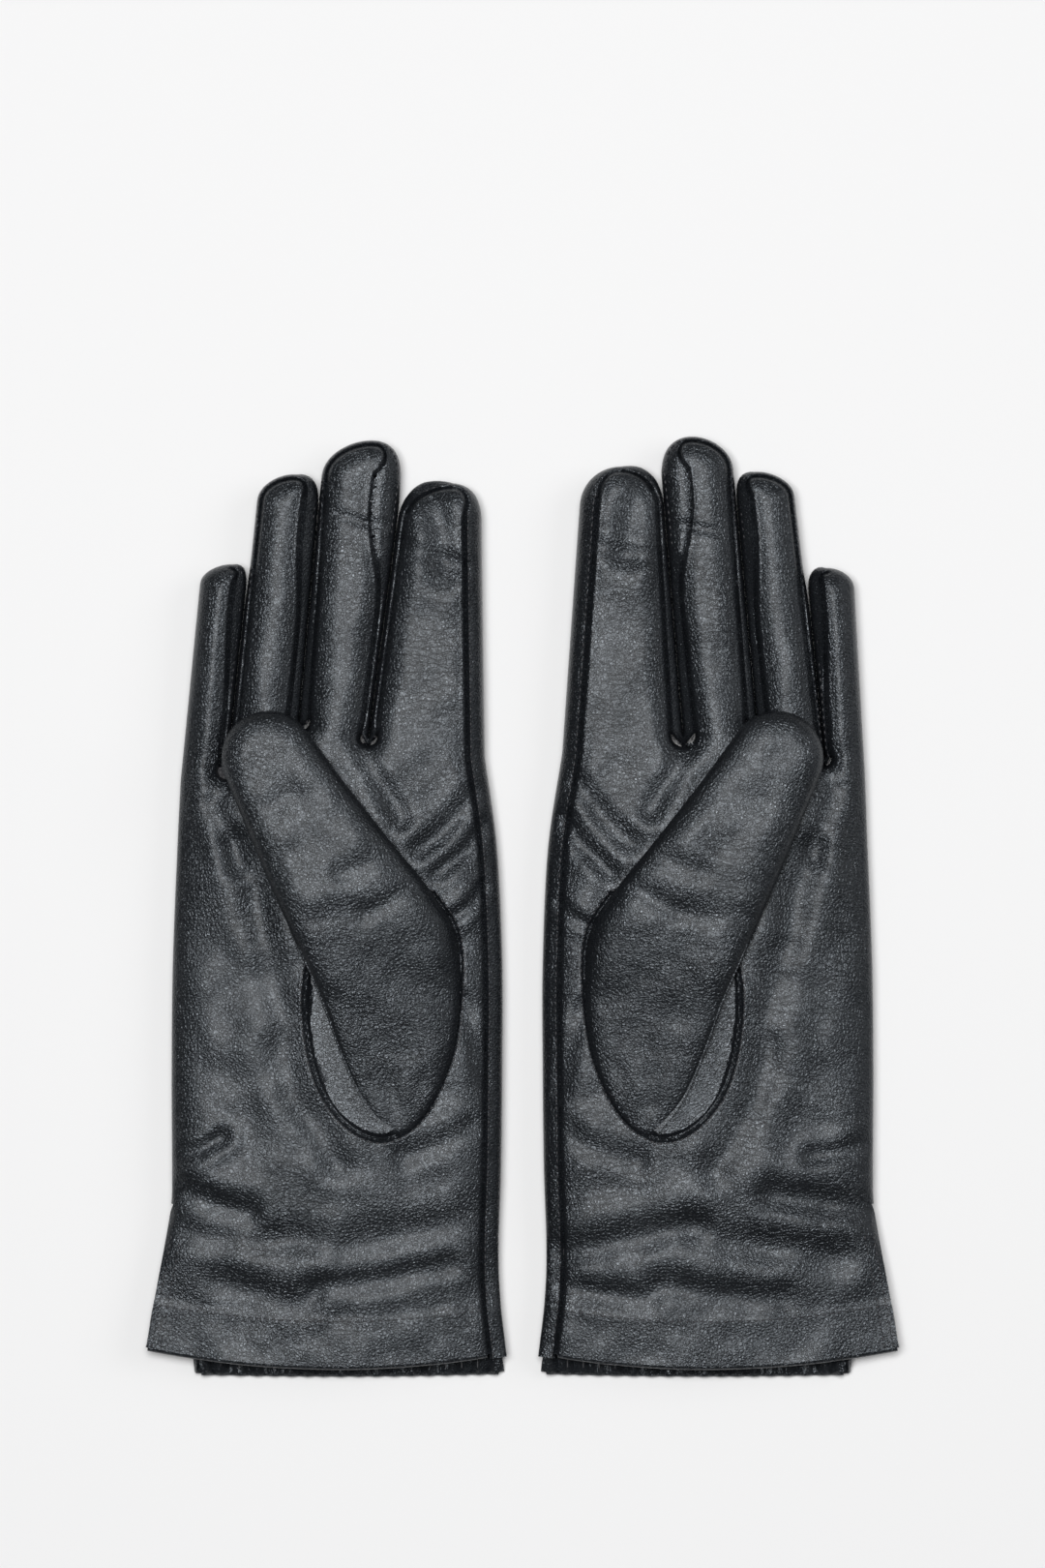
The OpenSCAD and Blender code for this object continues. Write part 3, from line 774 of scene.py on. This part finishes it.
def rolled_band(hand, name, edge, inward, height, side):
    """A band that rolls over an edge and runs up inside a leaf; side is -1 under it and 1 over it."""
    bm = new_mesh()

    def rule(u, v):
        p = edge(u)
        way = inward(p)
        turn = np.clip(v / ROLLED, 0, 1) * math.pi
        run = np.clip((v - ROLLED) / (1 - ROLLED), 0, 1) * HEM_DEEP
        spot = p + way * (run - ROLL * np.sin(turn))[:, None]
        z = height(p + way * np.maximum(run, 0.2)[:, None])
        return np.column_stack([spot, z + side * ROLL * (1 - np.cos(turn))])

    lay(bm, round(84 / CELL), 26, rule)
    bm.normal_update()
    middle = float(edge(np.array([0.5]))[0, 1])
    near_edge = [f for f in bm.faces if f.calc_center_median().y < middle]
    if sum(-f.normal.y * f.calc_area() for f in near_edge) < 0:
        bmesh.ops.reverse_faces(bm, faces=bm.faces)
    piece = finish_piece(bm, f"{hand.name}_{name}_band", hand, leather, BAND_THICK)
    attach(piece, f"{hand.name}_hand")
    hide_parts(f"{hand.name}_{name}")


def cuff_pieces(hand):
    def palm_edge(u):
        x = PALM_HEM_ENDS[0] + (PALM_HEM_ENDS[1] - PALM_HEM_ENDS[0]) * u
        return np.stack([x, hem_y(x)], -1)

    def back_edge(u):
        x = BACK_HEM_ENDS[0] + (BACK_HEM_ENDS[1] - BACK_HEM_ENDS[0]) * u
        return np.stack([x, back_hem_y(x)], -1)

    def upward(p):
        return np.stack([0.13 * ease(-p[:, 0], 15, 50), np.ones(len(p))], -1)

    rolled_band(hand, "palm_hem", palm_edge, upward, lambda p: palm_height(hand, p), -1)
    rolled_band(hand, "back_hem", back_edge, upward, lambda p: back_height(hand, p), 1)
    band = new_mesh()

    def elastic_rule(u, v):
        p = back_edge(0.04 + 0.92 * u) + np.stack([0 * v, 1.2 + 6 * v], -1)
        return np.column_stack([p, back_height(hand, p) + 1.75])

    lay(band, 120, 6, elastic_rule)
    piece = finish_piece(band, f"{hand.name}_elastic_band", hand, elastic, ELASTIC_THICK)
    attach(piece, f"{hand.name}_hand")
    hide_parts(f"{hand.name}_wrist_elastic")
    facing = new_mesh()

    def facing_rule(u, v):
        flap = hand.flap_curve[hand.flap_curve[:, 1] < -125][::-1]
        p = along(flap, 0.3 + 0.68 * v) + np.stack([0.15 + 4.4 * u, 0 * u], -1)
        return np.column_stack([p, palm_height(hand, p) - 1.0])

    lay(facing, 6, 34, facing_rule)
    piece = finish_piece(facing, f"{hand.name}_vent_edge", hand, shaded_side_leather, FACING_THICK)
    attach(piece, f"{hand.name}_hand")
    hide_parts(f"{hand.name}_vent_facing")


# %% [markdown]
# ## Linings
# The lining is a thin knitted glove inside the leather one. It hardly shows, except in the mouth of
# the cuff, so it is one plain tube for the hand and one for each finger and thumb, drawn in from the
# leather by its thickness. Each tube is a grid wrapped round a flattened ring.

# %% Lining tubes
KNIT = 0.5
TIP_GAP, HAND_GAP = 2.4, 2.6
STALL_FROM, STALL_LENGTH = -4, 42
SQUARENESS = 2 / 2.5


def ring(u, half, low, high):
    """A flattened ring: across it and up it, at shares u of a turn."""
    a = 2 * math.pi * u
    c, s = np.cos(a), np.sin(a)
    mid = (low + high) / 2
    return (half * np.sign(c) * np.abs(c) ** SQUARENESS,
            mid + (high - low) / 2 * np.sign(s) * np.abs(s) ** SQUARENESS)


def round_end(past, radius):
    """The share of a tube's width that is left at some way past where its round end begins."""
    return np.sqrt(np.clip(1 - (np.clip(past, 0, 99) / radius) ** 2, 0, 1))


def on_thumb(foot, s, x, z):
    """Points at s along the thumb from a foot and x across it."""
    return np.column_stack([np.array(foot) + s[:, None] * THUMB_UP + x[:, None] * THUMB_OUT, z])


def tube(hand, name, around, rows, rule, node):
    bm = new_mesh()
    lay(bm, around, rows, rule)
    bmesh.ops.remove_doubles(bm, verts=bm.verts, dist=0.02)
    bmesh.ops.recalc_face_normals(bm, faces=bm.faces)
    piece = finish_piece(bm, f"{hand.name}_{name}", hand, lining, KNIT)
    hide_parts(f"{hand.name}_{node}")
    return piece


def lining_pieces(hand):
    for finger, which in zip(hand.fingers, NAMES):
        def rule(u, v, f=finger):
            t = 10 + v * (f.length + f.tip_r - TIP_GAP - 10)
            end = round_end(t - f.length, f.tip_r - TIP_GAP)
            half = (f.half(np.minimum(t, f.length)) - 2.2) * end
            x, z = ring(u, half, 6.4 - 4.6 * end, 6.4 + 4.2 * end)
            return np.column_stack([f.root + t[:, None] * f.up + x[:, None] * f.out, z])
        bend(tube(hand, f"{which}_lining", 28, 40, rule, f"{which}_end_lining"))

    def hand_rule(u, v):
        y = -150 + 142 * v
        right = np.interp(y, hand.index_curve[:, 1], hand.index_curve[:, 0]) - HAND_GAP
        left_curve = hand.back_curve[::-1]
        left = np.interp(y, left_curve[:, 1], left_curve[:, 0]) + HAND_GAP
        x, z = ring(u, (right - left) / 2, 1.9 + 0 * y, 9.6 - 1.0 * ease(-y, 120, 150))
        return np.column_stack([(right + left) / 2 + x, y, z])
    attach(tube(hand, "hand_lining_tube", 60, 60, hand_rule, "hand_lining"), f"{hand.name}_hand")

    def thumb_rule(u, v):
        s = STALL_FROM + v * (STALL_LENGTH + THUMB_R - HAND_GAP - STALL_FROM)
        end = round_end(s - STALL_LENGTH, THUMB_R - HAND_GAP)
        half = (15.5 - 4.8 * np.clip(s / STALL_LENGTH, 0, 1)) * end
        x, z = ring(u, half, STALL_MID - 2.9 * end, STALL_MID + 2.6 * end)
        return on_thumb((4, -41), s, x, z)
    bend(tube(hand, "thumb_lining_tube", 28, 40, thumb_rule, "thumb_lining"))

    def base_rule(u, v):
        s = -34 + 28 * v
        x, z = ring(u, 10.2 + 2.4 * v, 12.2 + 1.6 * v, 14.6 + 4.4 * v)
        return on_thumb((4.5, -41), s, x, z)
    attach(tube(hand, "thumb_base_lining_tube", 28, 16, base_rule, "thumb_base_lining"),
            f"{hand.name}_hand")


# %% [markdown]
# ## Stitches
# The seams are sewn with a short even stitch, which shows as a row of tiny bars on the seam's raised
# lip. One stitch is a stretched ball with a few faces, repeated along the seam at two millimetres.

# %% Stitch rows
PITCH = 2.0
FROM_SEAM = 0.62
FROM_OVAL = 0.95
SIDE_SEAM_IN = WRAP - 1.0
STITCH = (0.72, 0.23, 0.2, 1)
STEEPEST = 0.6


def stitch_row(curve, height, bm, lift_by=0.1):
    """Sews a row of stitches along a curve, each one laid along the leather's slope."""
    steps = np.linalg.norm(np.diff(curve, axis=0), axis=1)
    count = int(steps.sum() / PITCH)
    t = (np.arange(count) + 0.5) / count
    at = along(curve, t)
    ahead = along(curve, np.minimum(t + 0.3 / count, 1)) - along(curve, np.maximum(t - 0.3 / count, 0))
    z = height(at)
    z_ahead = height(at + ahead * 0.5)
    for q, way, h, k in zip(at, ahead, z, z_ahead):
        turn = math.atan2(way[1], way[0])
        pitch = math.atan2(float(k - h), max(0.5 * float(np.linalg.norm(way)), 1e-6))
        pitch = max(-STEEPEST, min(STEEPEST, pitch))
        place = (Matrix.Translation((q[0], q[1], float(h) + lift_by)) @ Matrix.Rotation(turn, 4, "Z")
                 @ Matrix.Rotation(-pitch, 4, "Y") @ Matrix.Diagonal(STITCH))
        bmesh.ops.create_uvsphere(bm, u_segments=6, v_segments=4, radius=1, matrix=place)


def stitches(hand):
    def on_palm(p):
        return palm_height(hand, p)

    for i, which in enumerate(NAMES):
        bm = new_mesh()
        if i:
            stitch_row(hand.flank(i, 1, FROM_SEAM), on_palm, bm)
        else:
            side = np.vstack([hand.index_seam(SIDE_SEAM_IN), hand.flank(0, 1, SIDE_SEAM_IN)[:-9]])
            stitch_row(side, on_palm, bm)
        if i < 3:
            stitch_row(hand.flank(i, -1, FROM_SEAM), on_palm, bm)
        piece = finish_piece(bm, f"{hand.name}_{which}_stitches", hand, thread)
        bend(piece)
        if not i:
            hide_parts(f"{hand.name}_side_seam")
    bm = new_mesh()
    across = hand.oval - np.array((13, -73))
    outside = hand.oval + FROM_OVAL * across / np.linalg.norm(across, axis=1)[:, None]
    stitch_row(outside, on_palm, bm)
    piece = finish_piece(bm, f"{hand.name}_oval_stitches", hand, thread)
    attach(piece, f"{hand.name}_hand")
    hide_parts(f"{hand.name}_thumb_seam")
    bm = new_mesh()
    x = np.linspace(-48.5, 39, 60)
    stitch_row(np.stack([x, hem_y(x) + 12.0], -1), on_palm, bm, 0.02)
    flap = hand.flap_curve[hand.flap_curve[:, 1] < -133]
    for off in (1.5, 3.9):
        stitch_row(flap + np.array((off, 0)), on_palm, bm, 0.04)
    piece = finish_piece(bm, f"{hand.name}_hem_stitches", hand, thread)
    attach(piece, f"{hand.name}_hand")
    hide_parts(f"{hand.name}_hem_seam")


# %% [markdown]
# ## Finishes
# The leather is a thin aniline-dyed hide, nearly black, with a fine pebble grain that catches soft
# light, and small creases between the pebbles. Fine grain is far too small to model, so it is bump:
# cells for the pebbles and for the longer cracks, a stretched noise for the creases, and a slow noise
# that makes some parts smoother. All of it reads the place at rest, so it stays put in the leather
# when a finger bends.

# %% Shader tools
class Value:
    """A number that changes over a surface, with ordinary arithmetic."""

    def __init__(self, finish, socket):
        self.finish, self.socket = finish, socket

    def math(self, operation, *terms):
        return self.finish.node("ShaderNodeMath", {"operation": operation}, dict(enumerate(terms)))

    def __add__(self, other):
        return self.math("ADD", self, other)

    __radd__ = __add__

    def __mul__(self, other):
        return self.math("MULTIPLY", self, other)

    __rmul__ = __mul__

    def __sub__(self, other):
        return self.math("SUBTRACT", self, other)

    def __rsub__(self, other):
        return self.math("SUBTRACT", other, self)

    def between(self, low, high):
        return self.finish.node("ShaderNodeMapRange", {"interpolation_type": "SMOOTHSTEP"},
                                {"Value": self, "From Min": low, "From Max": high})


class Finish:
    """A procedural material and its nodes."""

    def __init__(self, name, **settings):
        self.material = bpy.data.materials.new(name)
        self.material.use_nodes = True
        self.tree = self.material.node_tree
        self.shader = self.tree.nodes["Principled BSDF"]
        for key, value in settings.items():
            self.shader.inputs[key.replace("_", " ")].default_value = value

    def node(self, kind, settings=None, inputs=None, output=0):
        made = self.tree.nodes.new(kind)
        for key, value in (settings or {}).items():
            setattr(made, key, value)
        for key, value in (inputs or {}).items():
            if isinstance(value, Value):
                self.tree.links.new(value.socket, made.inputs[key])
            else:
                made.inputs[key].default_value = value
        return Value(self, made.outputs[output])

    def attribute(self, name, output):
        return self.node("ShaderNodeAttribute", {"attribute_name": name}, output=output)

    def stretched(self, place, scale, turn=0.0):
        return self.node("ShaderNodeMapping", None,
                         {"Vector": place, "Scale": scale, "Rotation": (0, 0, turn)})

    def noise(self, place, scale, detail=2.0, rough=0.5):
        return self.node("ShaderNodeTexNoise", None,
                         {"Vector": place, "Scale": scale, "Detail": detail, "Roughness": rough})

    def cells(self, place, across):
        """The distance to the edges of cells that measure some millimetres across."""
        return self.node("ShaderNodeTexVoronoi", {"feature": "DISTANCE_TO_EDGE"},
                         {"Vector": place, "Scale": 1000 / across})

    def tint(self, share, dark, light):
        return self.node("ShaderNodeMix", {"data_type": "RGBA"}, {0: share, 6: (*dark, 1), 7: (*light, 1)}, 2)

    def feed(self, **values):
        for key, value in values.items():
            self.tree.links.new(value.socket, self.shader.inputs[key.replace("_", " ")])

    def bump(self, height, distance):
        self.feed(Normal=self.node("ShaderNodeBump", None,
                                   {"Height": height, "Distance": distance, "Strength": 1.0}))


def leather_finish(name, dark, light, grain, rough):
    f = Finish(name, Specular_IOR_Level=0.5, Coat_Roughness=0.3, Coat_Weight=0.1,
               Specular_Tint=(0.84, 0.92, 1.0, 1.0))
    place = f.attribute("rest", 1)
    seam = f.attribute("seam", 2)
    warp = f.noise(place, 420, 2)
    pebbles = f.cells(place, 0.95).between(0.0, 0.32)
    fine = f.cells(place, 0.5).between(0.0, 0.3)
    creases = f.noise(f.stretched(place, (0.35, 1.0, 1.0), 0.25), 1500, 3, 0.6)
    slow = f.noise(place, 60, 3)
    bent = f.node("ShaderNodeVectorMath", {"operation": "MULTIPLY_ADD"},
                  {0: f.node("ShaderNodeTexNoise", None, {"Vector": place, "Scale": 140.0, "Detail": 2.0}, 1),
                   1: (0.0035, 0.0035, 0.0035), 2: place})
    cracks = f.cells(f.stretched(bent, (0.42, 1.0, 1.0), 0.12), 1.9).between(0.0, 0.09)
    where = f.noise(place, 38, 2).between(0.42, 0.62)
    height = pebbles * (0.5 + 0.4 * warp) + fine * 0.25 + creases * 0.5 + cracks * where * 0.6
    f.bump(height, grain)
    # The leather's colour is painted lighter within a few millimetres of each seam: a painted highlight for
    # the seams' raised lips. The same mask also makes them a little glossier.
    painted_seam_highlight = seam.between(0.004, 0.0004)
    f.feed(Base_Color=f.tint(pebbles * 0.45 + slow * 0.5 + painted_seam_highlight * 0.25, dark, light),
           Roughness=rough + 0.16 * slow - 0.07 * pebbles - 0.04 * painted_seam_highlight + 0.05 * creases)
    return f.material


DYE = (0.003, 0.0036, 0.0045)
leather = leather_finish("leather_palm", DYE, (0.009, 0.0102, 0.0125), 0.00012, 0.24)
# The sides use a darker copy of the same leather: painted shade for the fourchettes, wraps, thumb underside
# and vent facing, which lie out of the overhead light.
shaded_side_leather = leather_finish("leather_sides_shaded", DYE, (0.008, 0.009, 0.011), 0.00010, 0.23)


def knit_finish():
    f = Finish("lining_knit", Sheen_Weight=0.4, Specular_IOR_Level=0.2)
    place = f.attribute("rest", 1)
    loops = f.node("ShaderNodeTexWave", {"wave_type": "BANDS", "bands_direction": "X"},
                   {"Vector": place, "Scale": 320.0, "Distortion": 1.5, "Detail": 1.0}, 1)
    rows = f.node("ShaderNodeTexWave", {"wave_type": "BANDS", "bands_direction": "Y"},
                  {"Vector": place, "Scale": 260.0, "Distortion": 0.6, "Detail": 1.0}, 1)
    fuzz = f.noise(place, 3000, 3)
    f.bump(loops * rows + fuzz * 0.4, 0.00012)
    f.feed(Base_Color=f.tint(loops * rows + 0.3 * fuzz, (0.02, 0.02, 0.022), (0.07, 0.07, 0.075)),
           Roughness=0.8 + 0.1 * fuzz)
    return f.material


def thread_finish(name, dark, light, rough):
    f = Finish(name, Specular_IOR_Level=0.5)
    place = f.attribute("rest", 1)
    twist = f.noise(f.stretched(place, (1, 1, 1), 0.8), 4200, 2)
    f.bump(twist, 0.00004)
    f.feed(Base_Color=f.tint(twist, dark, light), Roughness=rough + 0.15 * twist)
    return f.material


lining = knit_finish()
thread = thread_finish("thread_waxed", (0.01, 0.01, 0.012), (0.035, 0.036, 0.042), 0.38)
elastic = thread_finish("elastic_braid", (0.03, 0.03, 0.032), (0.08, 0.08, 0.085), 0.6)
print("finishes", [m.name for m in bpy.data.materials])


# %% [markdown]
# ## Both gloves
# The same steps make the right-hand and the left-hand glove. Each has its own finger sizes, its own
# tips and its own folds, so they are a pair and not copies.

# %% Make both gloves
for hand in hands:
    dress_leaf(hand, palm_leaf(hand), "palm_side", f"{hand.name}_palm_leaf")
    dress_leaf(hand, back_leaf(hand), "back_side", f"{hand.name}_back_leaf")
    side_pieces(hand)
    thumb_pieces(hand)
    cuff_pieces(hand)
    lining_pieces(hand)
    stitches(hand)
    print(hand.name, "glove made")
print(len(counts), "pieces,", sum(counts.values()), "faces, largest", max(counts, key=counts.get),
      max(counts.values()))

# %% [markdown]
# ## Table, light and camera
# The gloves are seen from straight above on a pale table. One broad soft light overhead gives the
# leather its wide sheen, and a weaker one from the side makes the folds readable.

# %% Stage
table = bmesh.new()
bmesh.ops.create_grid(table, x_segments=1, y_segments=1, size=3)
table_mesh = bpy.data.meshes.new("table")
table.to_mesh(table_mesh)
table.free()
table_top = bpy.data.objects.new("table", table_mesh)
bpy.context.scene.collection.objects.link(table_top)
paper = Finish("paper", Roughness=0.9, Base_Color=(0.77, 0.77, 0.772, 1))
table_mesh.materials.append(paper.material)


def soft_light(name, place, aim, size, power):
    data = bpy.data.lights.new(name, "AREA")
    data.shape = "RECTANGLE"
    data.size, data.size_y = size
    data.energy = power
    lamp = bpy.data.objects.new(name, data)
    lamp.location = place
    lamp.rotation_euler = (Vector(place) - Vector(aim)).to_track_quat("Z", "Y").to_euler()
    bpy.context.scene.collection.objects.link(lamp)


soft_light("overhead", (-0.2, 0.3, 2.45), (0, 0, 0), (1.15, 0.85), 66)
soft_light("side", (1.7, 0.6, 1.4), (0, 0, 0), (1.4, 1.4), 9)
world = bpy.data.worlds.new("studio")
world.use_nodes = True
world.node_tree.nodes["Background"].inputs["Color"].default_value = (1, 1, 1, 1)
world.node_tree.nodes["Background"].inputs["Strength"].default_value = 0.07
bpy.context.scene.world = world
bpy.context.scene.view_settings.view_transform = "Standard"

VIEW_Y = 0.0326
VIEW_HIGH = 2.0
VIEW_TALL = 0.4196
VIEW_LEVEL = 0.012
lens = bpy.data.cameras.new("camera")
lens.sensor_fit = "VERTICAL"
lens.angle_y = 2 * math.atan(VIEW_TALL / 2 / (VIEW_HIGH - VIEW_LEVEL))
camera = bpy.data.objects.new("camera", lens)
camera.location = (0, VIEW_Y, VIEW_HIGH)
bpy.context.scene.collection.objects.link(camera)
bpy.context.scene.camera = camera

# %% [markdown]
# ## Finish
# The finished pair should fill the same box as the imported model; here the scene is only brought up to date.

# %% Finish
bpy.context.view_layer.update()
